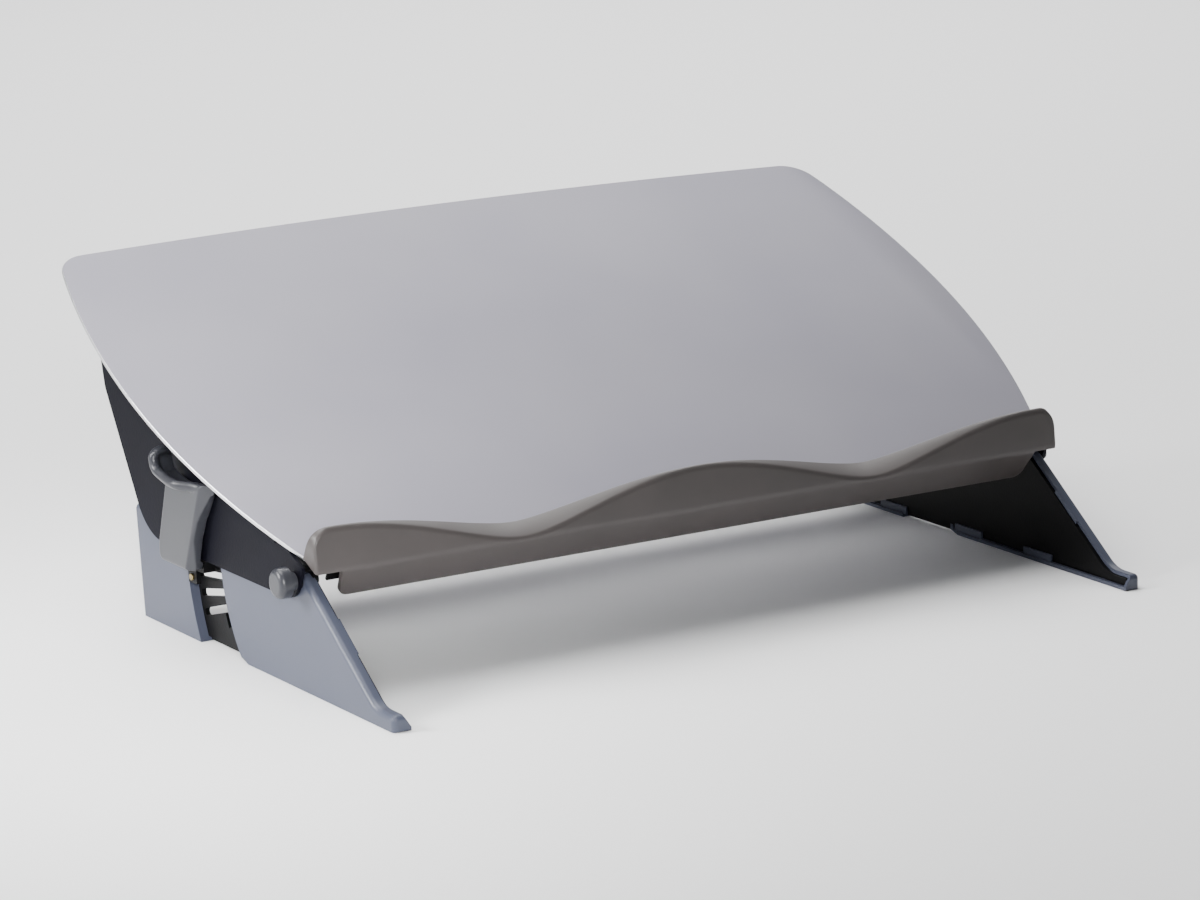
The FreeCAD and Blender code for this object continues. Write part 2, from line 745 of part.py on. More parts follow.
def cross_bar(start, depth, half):
    """Folded channel across the frame, open downwards."""
    bar = block((-half, half), (start, start + bar_width),
                (rail_under_pivot - depth, rail_under_pivot))
    hollow = block((-half - 1, half + 1), (start + bar_wall, start + bar_width - bar_wall),
                   (rail_under_pivot - depth - 1, rail_under_pivot - bar_wall))
    bar = bar.cut(hollow)
    for x, run in bar_rivet_places():
        if start < run < start + bar_width:
            for side in (-1, 1):
                bar = bar.cut(rod_z(rivet_radius, rail_under_pivot - bar_wall - 1,
                                    rail_under_pivot + 1, side * x, run))
    return on_slope(bar)


def bar_rivet_set():
    """Rivets between rails and cross bars, right-hand side."""
    rivets = []
    for x, run in bar_rivet_places():
        shank = rod_z(rivet_radius, rail_under_pivot - bar_wall, rail_under_pivot + rail_floor,
                      x, run)
        head = rod_z(rivet_head_radius * 0.8, rail_under_pivot - bar_wall - rivet_head_height,
                     rail_under_pivot - bar_wall, x, run)
        rivets.append(on_slope(shank.fuse(head)))
    return rivets


def rail_buffer():
    """Rubber plug in the rear end of the right-hand rail."""
    start = runner_start + runner_length + stop_gap
    plug = block((rail_in + rail_wall, arm_in - rail_wall), (start, start + buffer_length),
                 (rail_under_pivot + rail_floor, lip_under))
    return on_slope(plug)


def lever_axis():
    """X and Z of the lever's hinge pin, right-hand side."""
    return (arm_out + lever_axis_out, pivot_z + lever_axis_up)


def bracket_rivet_places():
    """Y and Z of the two rivets that hold a lever bracket."""
    z = lever_axis()[1] - bracket_rivet_drop
    half = bracket_rivet_spread / 2
    middle = pivot_y + lever_axis_y
    return [(middle - half, z), (middle + half, z)]


def lever_bracket():
    """Steel bracket on the arm with two ears for the hinge pin."""
    x, z = lever_axis()
    middle = pivot_y + lever_axis_y
    half = ear_spread / 2
    base = block((arm_out, arm_out + bracket_thickness), (middle - half, middle + half),
                 (z - bracket_height, z + ear_radius))
    bracket = base
    for start in (middle - half, middle + half - ear_thickness):
        ear = block((arm_out, x), (start, start + ear_thickness), (z - ear_radius, z + ear_radius))
        ear = ear.fuse(rod_y(ear_radius, start, start + ear_thickness, x, z))
        bracket = bracket.fuse(ear)
    bracket = bracket.cut(rod_y(hinge_pin_radius, middle - half - 1, middle + half + 1, x, z))
    for y, rivet_z in bracket_rivet_places():
        bracket = bracket.cut(rod_x(rivet_radius, arm_out - 1, x, y, rivet_z))
    return bracket.removeSplitter()


def bracket_rivet_set():
    """Rivets of the right-hand lever bracket, flush inside the arm."""
    rivets = []
    for y, z in bracket_rivet_places():
        shank = rod_x(rivet_radius, arm_in, arm_out + bracket_thickness, y, z)
        head = rod_x(0.8 * rivet_head_radius, arm_out + bracket_thickness,
                     arm_out + bracket_thickness + bracket_rivet_head, y, z)
        rivets.append(shank.fuse(head).removeSplitter())
    return rivets


def hinge_pin():
    """Pin of the right-hand lever, held by the bracket's ears."""
    x, z = lever_axis()
    middle = pivot_y + lever_axis_y
    return rod_y(hinge_pin_radius, middle - hinge_pin_length / 2,
                 middle + hinge_pin_length / 2, x, z)


def lever_spring():
    """Coil round the hinge pin, between the ears."""
    x, z = lever_axis()
    pitch = 1.15 * spring_wire
    length = spring_turns * pitch
    start = pivot_y + lever_axis_y - length / 2
    helix = Part.makeHelix(pitch, length, spring_radius)
    profile = Part.Wire(Part.makeCircle(spring_wire / 2, Vector(spring_radius, 0, 0),
                                        Vector(0, 1, 0)))
    coil = Part.Wire(helix).makePipeShell([profile], True, True)
    coil.rotate(Vector(), Vector(1, 0, 0), -90)
    coil.translate(Vector(x, start, z))
    return coil


# Board and ledge, laid out on the slope with the pivot as zero

def board():
    """Thin writing board with bowed sides and a tongue under the ledge."""
    middle_s = (board_start + board_wide_s) / 2
    low_radius = chord_radius(board_half_max - board_half_front, board_wide_s - board_start)
    high_radius = chord_radius(board_half_max - board_half_end, board_end - board_bow - board_wide_s)
    low_x = board_half_max - sagitta(low_radius, board_wide_s - middle_s)
    high_s = (board_wide_s + board_end - board_bow) / 2
    high_x = board_half_max - sagitta(high_radius, high_s - board_wide_s)
    corner_s = board_end - board_bow
    edges = [
        arc((board_half_front, board_start), (low_x, middle_s), (board_half_max, board_wide_s)),
        arc((board_half_max, board_wide_s), (high_x, high_s), (board_half_end, corner_s)),
        arc((board_half_end, corner_s), (0, board_end), (-board_half_end, corner_s)),
        arc((-board_half_end, corner_s), (-high_x, high_s), (-board_half_max, board_wide_s)),
        arc((-board_half_max, board_wide_s), (-low_x, middle_s), (-board_half_front, board_start)),
        Part.makeLine(Vector(-board_half_front, board_start, 0),
                      Vector(board_half_front, board_start, 0)),
    ]
    sheet = Part.Face(Part.Wire(edges)).extrude(Vector(0, 0, board_thickness))
    corners = [edge for edge in sheet.Edges
               if abs(edge.BoundBox.YMin - corner_s) < 0.01 and edge.BoundBox.YLength < 0.01
               and edge.BoundBox.XLength < 0.01]
    sheet = sheet.makeFillet(board_corner, corners)
    tongue = block((-tongue_half, tongue_half), (tongue_start(), board_start + 1),
                   (0, board_thickness))
    sheet = sheet.fuse(tongue).removeSplitter()
    sheet.translate(Vector(0, 0, board_under))
    for x in ledge_screws:
        sheet = sheet.cut(rod_z(ledge_screw_radius + screw_play, board_under - 1,
                                board_over_pivot + 1, x, ledge_screw_run()))
    return on_slope(sheet)


def arc(start, middle, end):
    """Edge of an arc through three points given as X and run."""
    return Part.Arc(Vector(start[0], start[1], 0), Vector(middle[0], middle[1], 0),
                    Vector(end[0], end[1], 0)).toShape()


def chord_radius(depth, length):
    """Radius of an arc that departs by depth from its tangent over length."""
    return (length ** 2 + depth ** 2) / (2 * depth)


def sagitta(radius, length):
    """How far an arc departs from its tangent after length."""
    return radius - math.sqrt(radius ** 2 - length ** 2)


def tongue_start():
    """Front edge of the board's tongue, just behind the skirt."""
    return nose_run + skirt_wall + tongue_play


def ledge_screw_run():
    """Run of the screws under the ledge."""
    return nose_run + ledge_screw_back


def ledge_section():
    """Run and rise of the ledge with its skirt, a little higher than its crests."""
    nose = nose_run
    spare = 2 * ledge_edge_round
    top = board_over_pivot + ledge_height + spare
    low = board_over_pivot - ledge_lap
    bottom = board_over_pivot - skirt_depth
    crest = nose + ledge_lean * ledge_height
    back = (crest + ledge_crest - board_start) / ledge_height
    lean = skirt_back / skirt_depth
    return [
        (nose + skirt_back, bottom, skirt_edge),
        (nose, board_over_pivot, ledge_nose_radius),
        (crest + ledge_lean * spare, top, 0),
        (crest + ledge_crest + back * spare, top, 0),
        (board_start, board_over_pivot, 0),
        (board_start, low, 0),
        (nose + skirt_wall + lean * ledge_lap, low, 0),
        (nose + skirt_back + skirt_wall, bottom, skirt_edge)]


def wave_height(x):
    """Rise of the ledge's top at a distance from the middle of the slope."""
    turn = math.cos(math.pi * x / (2 * ledge_dip))
    return board_over_pivot + ledge_low + (ledge_height - ledge_low) * abs(turn) ** ledge_fullness


def wave_cutter():
    """Everything above the wavy top of the ledge."""
    top = board_over_pivot + ledge_height
    points = []
    for index in range(-2 * ledge_steps, 2 * ledge_steps + 1):
        x = index * ledge_dip / ledge_steps
        points.append(Vector(x, 0, wave_height(x)))
    wave = Part.BSplineCurve()
    level = Vector(1, 0, 0)
    wave.interpolate(Points=points, InitialTangent=level, FinalTangent=level)
    high = top + ledge_height
    side = ledge_half + ledge_crest
    saved = ledge_corner * (1 - math.sqrt(0.5))
    edges = [wave.toShape()]
    for sign in (-1, 1):
        first = Vector(sign * (ledge_half - ledge_corner), 0, top)
        middle = Vector(sign * (ledge_half - saved), 0, top - saved)
        last = Vector(sign * ledge_half, 0, top - ledge_corner)
        below = Vector(sign * side, 0, last.z)
        above = Vector(sign * side, 0, high)
        edges.append(Part.makeLine(Vector(sign * points[-1].x, 0, top), first))
        edges.append(Part.Arc(first, middle, last).toShape())
        edges.append(Part.makeLine(last, below))
        edges.append(Part.makeLine(below, above))
    edges.append(Part.makeLine(Vector(-side, 0, high), Vector(side, 0, high)))
    outline = Part.Wire(Part.sortEdges(edges)[0])
    cutter = Part.Face(outline).extrude(Vector(0, 4 * ledge_base, 0))
    cutter.translate(Vector(0, nose_run - ledge_base, 0))
    return cutter


def skirt_end():
    """Space beyond the right-hand end of the skirt, under the ledge."""
    top = board_over_pivot - ledge_lap
    bottom = board_over_pivot - skirt_depth
    low_half = skirt_half - skirt_taper
    return prism_y([
        (skirt_half, top, 0),
        (ledge_half + 1, top, 0),
        (ledge_half + 1, bottom - 1, 0),
        (low_half - skirt_corner, bottom - 1, 0),
        (low_half - skirt_corner, bottom, 0),
        (low_half, bottom, skirt_corner)], nose_run - ledge_base, board_start + ledge_base)


def ledge():
    """Wavy ledge along the front of the board, with a skirt below."""
    body = prism_x(ledge_section(), -ledge_half, ledge_half)
    body = body.cut(wave_cutter())
    body = body.cut(skirt_end()).cut(mirrored(skirt_end()))
    rabbet = block((-tongue_half - tongue_play, tongue_half + tongue_play),
                   (tongue_start() - tongue_play, board_start + 1),
                   (board_under - tongue_play, board_over_pivot))
    body = body.cut(rabbet)
    edges = [edge for edge in body.Edges if is_rim_edge(edge)]
    body = body.makeFillet(ledge_edge_round, edges)
    for x in ledge_screws:
        body = body.cut(rod_z(ledge_screw_radius + thread_play, board_over_pivot - 1,
                              board_over_pivot + ledge_screw_length + 0.5, x, ledge_screw_run()))
    return on_slope(body.removeSplitter())


def is_rim_edge(edge):
    """Whether an edge runs up an end of the ledge or along its wavy top, in front."""
    box = edge.BoundBox
    crest = nose_run + ledge_lean * ledge_height
    in_front = box.YMax < crest + 0.1
    above = box.ZMin > board_over_pivot + 0.5 * ledge_low
    at_end = box.XLength < 0.01 and abs(abs(box.XMin) - ledge_half) < 0.01
    along = box.XLength > 1 and box.ZMax > board_over_pivot + ledge_low
    return in_front and above and (at_end or along)


def ledge_screw_set():
    """Screws from below through the tongue into the crests of the ledge."""
    screws = []
    for x in ledge_screws:
        shank = rod_z(ledge_screw_radius, board_under, board_over_pivot + ledge_screw_length,
                      x, ledge_screw_run())
        head = rod_z(ledge_screw_head, board_under - ledge_screw_head_height, board_under,
                     x, ledge_screw_run())
        screws.append(on_slope(shank.fuse(head).removeSplitter()))
    return screws


def runner():
    """Tee-shaped strip under the board that runs in the rail."""
    end = runner_start + runner_length
    stem = block((runner_middle - runner_stem / 2, runner_middle + runner_stem / 2),
                 (runner_start, end), (runner_under, board_under))
    flange = block((runner_middle - runner_flange / 2, runner_middle + runner_flange / 2),
                   (runner_start, end), (runner_under, runner_top))
    return on_slope(stem.fuse(flange).removeSplitter())


def slide_stop():
    """Block under the board that meets the front bar when the board is out."""
    start = -front_bar_forward + bar_width + glide_travel + stop_gap
    stop = block((-stop_width / 2, stop_width / 2), (start, start + stop_length),
                 (front_bar_under + stop_rise, board_under))
    return on_slope(stop)


# Release levers

def arm_sweep():
    """Where the right-hand arm comes as seen from the turning lever."""
    x, z = lever_axis()
    space = []
    for angle in (-lever_seat, lever_release):
        slab = block((plate_out, arm_out + lever_gap), (pivot_y, pivot_y + 2 * lever_heel),
                     (pivot_z - arm_drop - lever_gap, pivot_z + 2 * leg_top))
        slab.rotate(Vector(x, 0, z), Vector(0, 1, 0), angle)
        space.append(slab)
    return Part.makeCompound(space)


def lever_outline(inset, top):
    """Side view of the lever's body up to top, with its edges inset by so much."""
    low = pivot_z - lever_low + inset
    heel = pivot_y + lever_heel - inset
    return [
        (pivot_y + lever_toe + inset, low, max(lever_toe_round - inset, 0.3)),
        (heel, low, max(lever_heel_round - inset, 0.3)),
        (pivot_y + lever_back - inset, pivot_z - lever_back_low, lever_back_round),
        (pivot_y + lever_rear_top - inset, pivot_z + top, 0),
        (pivot_y + lever_front_top + inset, pivot_z + top, 0),
        (pivot_y + lever_throat + inset, pivot_z + lever_throat_up, lever_throat_round),
        (pivot_y + lever_shin + inset, pivot_z + lever_shin_up, lever_shin_round),
    ]


def scoop_line(depth):
    """Side view of the scoop, with its upper side lowered by depth."""
    under = pivot_z + scoop_under
    thick = scoop_thickness - depth
    bow = (pivot_y + scoop_bow, under + scoop_bow_rise)
    bend = (pivot_y + scoop_bend, under + scoop_bend_rise)
    back = (pivot_y + scoop_back, under + scoop_back_rise)
    tip = (pivot_y + scoop_tip, under + scoop_tip_rise)
    return [
        (pivot_y + scoop_front, under, scoop_end_round),
        (bow[0], bow[1], scoop_bow_round),
        (bend[0], bend[1], scoop_bend_round),
        (back[0], back[1], scoop_bend_round),
        (tip[0], tip[1], scoop_end_round),
        (tip[0] - thick, tip[1] - scoop_tip_lean, scoop_end_round),
        (back[0] - thick, back[1], scoop_inner_round),
        (bend[0] - thick, bend[1] + thick, scoop_bend_round),
        (bow[0] - scoop_tip_lean, bow[1] + thick, scoop_bow_round),
        (pivot_y + scoop_front + scoop_tip_lean, under + thick, scoop_end_round)]


def scoop():
    """Curled finger piece on top of the lever, with a raised lip round its edge."""
    inner = arm_out + scoop_relief
    body = arm_out + lever_depth
    outer = body + scoop_out
    low = pivot_z + lever_ceiling
    tip = pivot_z + scoop_under + scoop_tip_rise
    end = pivot_y + scoop_back + scoop_thickness
    solid = prism_x(scoop_line(0), inner, outer)
    dish = prism_x(scoop_line(scoop_lip_height), inner, outer)
    lip = block((outer - scoop_lip, outer + 1), (pivot_y, end), (pivot_z, 2 * tip))
    solid = solid.common(lip).fuse(dish).removeSplitter()
    plan = prism_z([
        (arm_out, pivot_y, 0),
        (body, pivot_y, 0),
        (body, pivot_y + scoop_plan_start, scoop_plan_round),
        (outer, pivot_y + scoop_plan_full, scoop_plan_round),
        (outer, end, scoop_bend_round),
        (arm_out, end, 0)], low, 2 * tip)
    front = prism_y([
        (arm_out, low, 0),
        (outer, low, 0),
        (outer, tip, scoop_corner),
        (arm_out, tip, 0)], pivot_y, end + 1)
    return solid.common(plan).common(front)


def lever():
    """Hollow moulded lever with its scoop and two supports for the hinge pin."""
    inner = arm_out + lever_gap
    outer = arm_out + lever_depth
    x, z = lever_axis()
    middle = pivot_y + lever_axis_y
    body = prism_x(lever_outline(0, lever_top), inner, outer)
    edges = [edge for edge in body.Edges
             if abs(edge.BoundBox.XMin - outer) < 1e-3 and edge.BoundBox.XLength < 1e-3
             and edge.BoundBox.ZMin < pivot_z + lever_ceiling]
    body = body.makeFillet(lever_round, edges)
    hollow = prism_x(lever_outline(lever_wall, lever_ceiling), plate_out, outer - lever_wall)
    body = body.cut(hollow)
    for sign in (-1, 1):
        place = middle + sign * (hinge_pin_length - rib_thickness) / 2
        rib = block((x - rib_half, outer - lever_wall / 2),
                    (place - rib_thickness / 2, place + rib_thickness / 2),
                    (z - rib_half, pivot_z + lever_top - lever_gap))
        body = body.fuse(rib)
    body = body.fuse(scoop()).removeSplitter()
    body = body.cut(rod_y(hinge_pin_radius + pin_fit,
                          middle - hinge_pin_length / 2 - hinge_pin_end_play,
                          middle + hinge_pin_length, x, z))
    return body.cut(arm_sweep())


def pawl():
    """Carrier under the lever with the flat tooth that enters a slot."""
    outer = arm_out + lever_depth - lever_wall
    half = tooth_length / 2
    top = tooth_thickness / 2
    tip = plate_out + tooth_gap
    shoulder = plate_out + carrier_gap
    front = tooth_middle - half + 1
    rear = tooth_middle + half + 1
    low = carrier_rise - carrier_height
    carrier = block((shoulder, outer), (front, rear), (low, carrier_rise))
    inside = (arm_out + lever_gap, outer + 1)
    carrier = carrier.cut(block(inside, (front - 1, rear + 1), (low - 1, low + carrier_trim)))
    carrier = carrier.cut(block(inside, (front - 1, front + carrier_step), (low - 1, top)))
    tooth = block((tip, shoulder + 1), (tooth_middle - half, tooth_middle + half),
                  (-top, top))
    tooth = chamfer_tip(tooth, tip)
    tail = block((tail_in, tail_in + tail_thickness), (rear - tail_length, rear),
                 (low - tail_height, low + 1))
    body = carrier.fuse(tooth).fuse(tail).removeSplitter()
    y, z = tail_pin_place()
    body = body.cut(rod_x(tail_pin_radius, tail_in - 1, tail_in + tail_thickness + 1, y, z))
    return in_comb(body, tooth_middle, 0)


def chamfer_tip(tooth, tip):
    """Bevel the leading edges of the tooth."""
    edges = [edge for edge in tooth.Edges
             if abs(edge.BoundBox.XMin - tip) < 1e-3 and edge.BoundBox.XLength < 1e-3
             and edge.BoundBox.YLength > tooth_length / 2]
    return tooth.makeChamfer(0.2 * tooth_thickness, edges)


def tail_pin_place():
    """Place of the round pin in the pawl's tail, before it goes to the comb."""
    rear = tooth_middle + tooth_length / 2 + 1
    low = carrier_rise - carrier_height - tail_height
    return (rear - 0.5 * tail_length, low + 0.4 * tail_height)


def pawl_pin():
    """Steel pin whose round end shows under the lever."""
    y, z = tail_pin_place()
    pin = rod_x(tail_pin_radius, tail_in, tail_in + tail_pin_length, y, z)
    rim = [edge for edge in pin.Edges
           if abs(edge.BoundBox.XMin - (tail_in + tail_pin_length)) < 1e-3]
    return in_comb(pin.makeFillet(0.5, rim), tooth_middle, 0)


def build():
    """Make every piece and write it as its own node."""
    os.makedirs("parts", exist_ok=True)
    save("inner_plate_right", inner_plate(False))
    save("inner_plate_left", mirrored(inner_plate(True)))
    save_pair("front_cover", front_cover())
    save_pair("rear_cover", rear_cover())
    save_pair("foot_pads", pad_space(0))
    save("pivot_pin_right", pivot_pin(cap_grip))
    save("pivot_pin_left", mirrored(pivot_pin(pin_grip)))
    save_pair("pivot_washer", pivot_washer())
    save("pivot_knob", mirrored(knob()))
    save("pivot_cap", pin_cap())
    save("cross_tube", cross_tube())
    save("tube_plugs", Part.makeCompound([tube_plug(), mirrored(tube_plug())]))
    save("tube_screws", Part.makeCompound([tube_screw(), mirrored(tube_screw())]))

    save_pair("side_arm", arm())
    save_pair("slide_rail", rail())
    rivets = rail_rivet_set() + bar_rivet_set() + bracket_rivet_set()
    save_pair("frame_rivets", Part.makeCompound(rivets))
    save("front_cross_bar", cross_bar(-front_bar_forward, front_bar_depth,
                                      leg_inner - bar_end_gap))
    save("rear_cross_bar", cross_bar(rear_bar_s, rear_bar_depth, arm_in))
    save("rail_buffers", Part.makeCompound([rail_buffer(), mirrored(rail_buffer())]))
    save_pair("lever_bracket", lever_bracket())
    save_pair("lever_hinge_pin", hinge_pin())
    save_pair("lever_spring", lever_spring())

    save("writing_board", board())
    save("paper_ledge", ledge())
    save("ledge_screws", Part.makeCompound(ledge_screw_set()))
    save_pair("slide_runner", runner())
    save("slide_stop", slide_stop())

    save_pair("release_lever", lever())
    save_pair("locking_pawl", pawl())
    save_pair("pawl_pin", pawl_pin())


build()
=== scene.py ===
import math

import bmesh
import bpy
from mathutils import Matrix, Vector


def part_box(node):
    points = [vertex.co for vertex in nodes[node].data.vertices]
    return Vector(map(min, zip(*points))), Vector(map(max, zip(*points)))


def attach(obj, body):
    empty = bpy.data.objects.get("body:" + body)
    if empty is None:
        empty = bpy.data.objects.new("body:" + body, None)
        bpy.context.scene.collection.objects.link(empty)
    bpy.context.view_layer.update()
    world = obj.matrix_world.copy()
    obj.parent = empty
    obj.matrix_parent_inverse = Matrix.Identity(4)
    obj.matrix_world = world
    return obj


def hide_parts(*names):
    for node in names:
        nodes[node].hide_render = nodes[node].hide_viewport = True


# A desk writing slope: grey moulded legs, black steel frame, a satin silver board
# and a wavy moulded ledge. Metres, in the same frame as the solids.

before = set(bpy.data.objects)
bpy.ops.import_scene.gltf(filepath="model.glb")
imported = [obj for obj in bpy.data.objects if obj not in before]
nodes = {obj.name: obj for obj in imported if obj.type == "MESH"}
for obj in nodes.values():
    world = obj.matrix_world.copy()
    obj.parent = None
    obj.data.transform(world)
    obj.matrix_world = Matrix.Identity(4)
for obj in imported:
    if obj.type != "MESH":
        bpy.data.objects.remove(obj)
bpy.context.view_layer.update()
sides = ("left", "right")


# Camera: the photograph's place and angle, found from the legs and the board

photo_width = 1200
focal_pixels = 4586.3
camera_azimuth = -31.814
camera_elevation = 13.243
camera_roll = -1.154
camera_place = Vector((-1.37787, -2.21613, 0.69749))


def place_camera():
    """Camera at the photograph's viewing angle."""
    azimuth = math.radians(camera_azimuth)
    elevation = math.radians(camera_elevation)
    roll = math.radians(camera_roll)
    back = Vector((math.sin(azimuth) * math.cos(elevation),
                   -math.cos(azimuth) * math.cos(elevation),
                   math.sin(elevation)))
    right = (-back).cross(Vector((0, 0, 1))).normalized()
    up = right.cross(-back)
    level = right * math.cos(roll) + up * math.sin(roll)
    upright = up * math.cos(roll) - right * math.sin(roll)
    lens = bpy.data.cameras.new("camera")
    lens.sensor_fit = "HORIZONTAL"
    lens.sensor_width = 36
    lens.lens = 36 * focal_pixels / photo_width
    lens.clip_end = 100
    camera = bpy.data.objects.new("camera", lens)
    turn = Matrix((level, upright, back)).transposed().to_4x4()
    camera.matrix_world = Matrix.Translation(camera_place) @ turn
    bpy.context.collection.objects.link(camera)
    bpy.context.scene.camera = camera


# Materials

def linear(code):
    """Linear colour of an sRGB hex code."""
    channels = []
    for start in (1, 3, 5):
        value = int(code[start:start + 2], 16) / 255
        low = value / 12.92
        high = ((value + 0.055) / 1.055) ** 2.4
        channels.append(low if value <= 0.04045 else high)
    return (*channels, 1.0)


def add_node(tree, kind, inputs=None, **settings):
    """One node with its settings; an input is a value or another node's output."""
    node = tree.nodes.new("ShaderNode" + kind)
    for name, value in settings.items():
        setattr(node, name, value)
    for name, value in (inputs or {}).items():
        if isinstance(value, bpy.types.NodeSocket):
            tree.links.new(value, node.inputs[name])
        else:
            node.inputs[name].default_value = value
    return node


def new_material(name, shown):
    """Empty node material with the colour it shows in a plain viewport."""
    material = bpy.data.materials.new(name)
    material.use_nodes = True
    material.diffuse_color = linear(shown)
    material.node_tree.nodes.clear()
    return material


def finish_surface(tree, shader):
    """Send a shader to the surface."""
    add_node(tree, "OutputMaterial", {"Surface": shader.outputs["BSDF"]})


def moulded_plastic(name, shade, worn, grain_mm, roughness, bump=0.12):
    """ABS moulded against a spark-eroded tool: fine even grain, slightly cloudy sheen."""
    material = new_material(name, shade)
    tree = material.node_tree
    place = add_node(tree, "TexCoord").outputs["Object"]
    # The real grain is finer than a pixel, so it is drawn at grain_mm to show at all.
    grain = add_node(tree, "TexNoise", {
        "Vector": place, "Scale": 1000 / grain_mm, "Detail": 2.0, "Roughness": 0.55})
    cloud = add_node(tree, "TexNoise", {
        "Vector": place, "Scale": 1000 / 38, "Detail": 3.0, "Roughness": 0.5})
    tone = add_node(tree, "ValToRGB", {"Fac": cloud.outputs["Fac"]})
    tone.color_ramp.elements[0].position = 0.32
    tone.color_ramp.elements[0].color = linear(shade)
    tone.color_ramp.elements[1].position = 0.70
    tone.color_ramp.elements[1].color = linear(worn)
    sheen = add_node(tree, "MapRange", {
        "Value": cloud.outputs["Fac"], "From Min": 0.3, "From Max": 0.7,
        "To Min": roughness - 0.04, "To Max": roughness + 0.05})
    relief = add_node(tree, "Bump", {
        "Height": grain.outputs["Fac"], "Strength": bump, "Distance": 0.0002})
    shader = add_node(tree, "BsdfPrincipled", {
        "Base Color": tone.outputs["Color"], "Roughness": sheen.outputs["Result"],
        "Specular IOR Level": 0.35, "IOR": 1.53, "Normal": relief.outputs["Normal"]})
    finish_surface(tree, shader)
    return material


def powder_coat(name, shade, light, roughness, gloss=0.12, bump=0.25):
    """Powder-coated steel: fine orange peel and a low, even gloss."""
    material = new_material(name, shade)
    tree = material.node_tree
    place = add_node(tree, "TexCoord").outputs["Object"]
    # Orange peel with waves of about a millimetre and a half.
    peel = add_node(tree, "TexNoise", {
        "Vector": place, "Scale": 1000 / 1.5, "Detail": 3.0, "Roughness": 0.5})
    cloud = add_node(tree, "TexNoise", {
        "Vector": place, "Scale": 1000 / 55, "Detail": 2.0, "Roughness": 0.5})
    tone = add_node(tree, "ValToRGB", {"Fac": cloud.outputs["Fac"]})
    tone.color_ramp.elements[0].position = 0.3
    tone.color_ramp.elements[0].color = linear(shade)
    tone.color_ramp.elements[1].position = 0.72
    tone.color_ramp.elements[1].color = linear(light)
    relief = add_node(tree, "Bump", {
        "Height": peel.outputs["Fac"], "Strength": bump, "Distance": 0.0003})
    shader = add_node(tree, "BsdfPrincipled", {
        "Base Color": tone.outputs["Color"], "Roughness": roughness,
        "Specular IOR Level": gloss, "IOR": 1.5, "Normal": relief.outputs["Normal"]})
    finish_surface(tree, shader)
    return material


def satin_aluminium():
    """Bead-blasted and clear anodised aluminium sheet: pale, matt, a little violet."""
    material = new_material("satin_anodised_aluminium", "#939298")
    tree = material.node_tree
    place = add_node(tree, "TexCoord").outputs["Object"]
    # The blast marks are about 0.1 mm; they are drawn at 0.9 mm so that they show.
    blast = add_node(tree, "TexNoise", {
        "Vector": place, "Scale": 1000 / 0.9, "Detail": 2.0, "Roughness": 0.6})
    cloud = add_node(tree, "TexNoise", {
        "Vector": place, "Scale": 1000 / 120, "Detail": 2.0, "Roughness": 0.5})
    tone = add_node(tree, "ValToRGB", {"Fac": cloud.outputs["Fac"]})
    tone.color_ramp.elements[0].position = 0.3
    tone.color_ramp.elements[0].color = linear("#878590")
    tone.color_ramp.elements[1].position = 0.7
    tone.color_ramp.elements[1].color = linear("#8e8c95")
    relief = add_node(tree, "Bump", {
        "Height": blast.outputs["Fac"], "Strength": 0.08, "Distance": 0.0001})
    shader = add_node(tree, "BsdfPrincipled", {
        "Base Color": tone.outputs["Color"], "Metallic": 0.35, "Roughness": 0.55,
        "Normal": relief.outputs["Normal"]})
    finish_surface(tree, shader)
    return material


def bare_metal(name, shade, light, roughness, grain_mm):
    """Turned or drawn steel with fine marks that catch the light."""
    material = new_material(name, shade)
    tree = material.node_tree
    place = add_node(tree, "TexCoord").outputs["Object"]
    marks = add_node(tree, "TexNoise", {
        "Vector": place, "Scale": 1000 / grain_mm, "Detail": 4.0, "Roughness": 0.6})
    tone = add_node(tree, "ValToRGB", {"Fac": marks.outputs["Fac"]})
    tone.color_ramp.elements[0].position = 0.35
    tone.color_ramp.elements[0].color = linear(shade)
    tone.color_ramp.elements[1].position = 0.65
    tone.color_ramp.elements[1].color = linear(light)
    relief = add_node(tree, "Bump", {
        "Height": marks.outputs["Fac"], "Strength": 0.1, "Distance": 0.0002})
    shader = add_node(tree, "BsdfPrincipled", {
        "Base Color": tone.outputs["Color"], "Metallic": 1.0, "Roughness": roughness,
        "Normal": relief.outputs["Normal"]})
    finish_surface(tree, shader)
    return material


def cured_rubber():
    """Black nitrile rubber, dull and dusty in its pores."""
    material = new_material("nitrile_rubber", "#1f1f21")
    tree = material.node_tree
    place = add_node(tree, "TexCoord").outputs["Object"]
    pores = add_node(tree, "TexNoise", {
        "Vector": place, "Scale": 1000 / 1.2, "Detail": 3.0, "Roughness": 0.6})
    tone = add_node(tree, "ValToRGB", {"Fac": pores.outputs["Fac"]})
    tone.color_ramp.elements[0].color = linear("#1a1a1c")
    tone.color_ramp.elements[1].color = linear("#2b2b2e")
    relief = add_node(tree, "Bump", {
        "Height": pores.outputs["Fac"], "Strength": 0.3, "Distance": 0.0003})
    shader = add_node(tree, "BsdfPrincipled", {
        "Base Color": tone.outputs["Color"], "Roughness": 0.85, "IOR": 1.52,
        "Normal": relief.outputs["Normal"]})
    finish_surface(tree, shader)
    return material


def paint(material, *names):
    """Give CAD nodes a material in every slot."""
    for name in names:
        mesh = nodes[name].data
        if not mesh.materials:
            mesh.materials.append(material)
        for index in range(len(mesh.materials)):
            mesh.materials[index] = material


def both(name):
    """Names of the left and the right one of a pair."""
    return [name + "_" + side for side in sides]


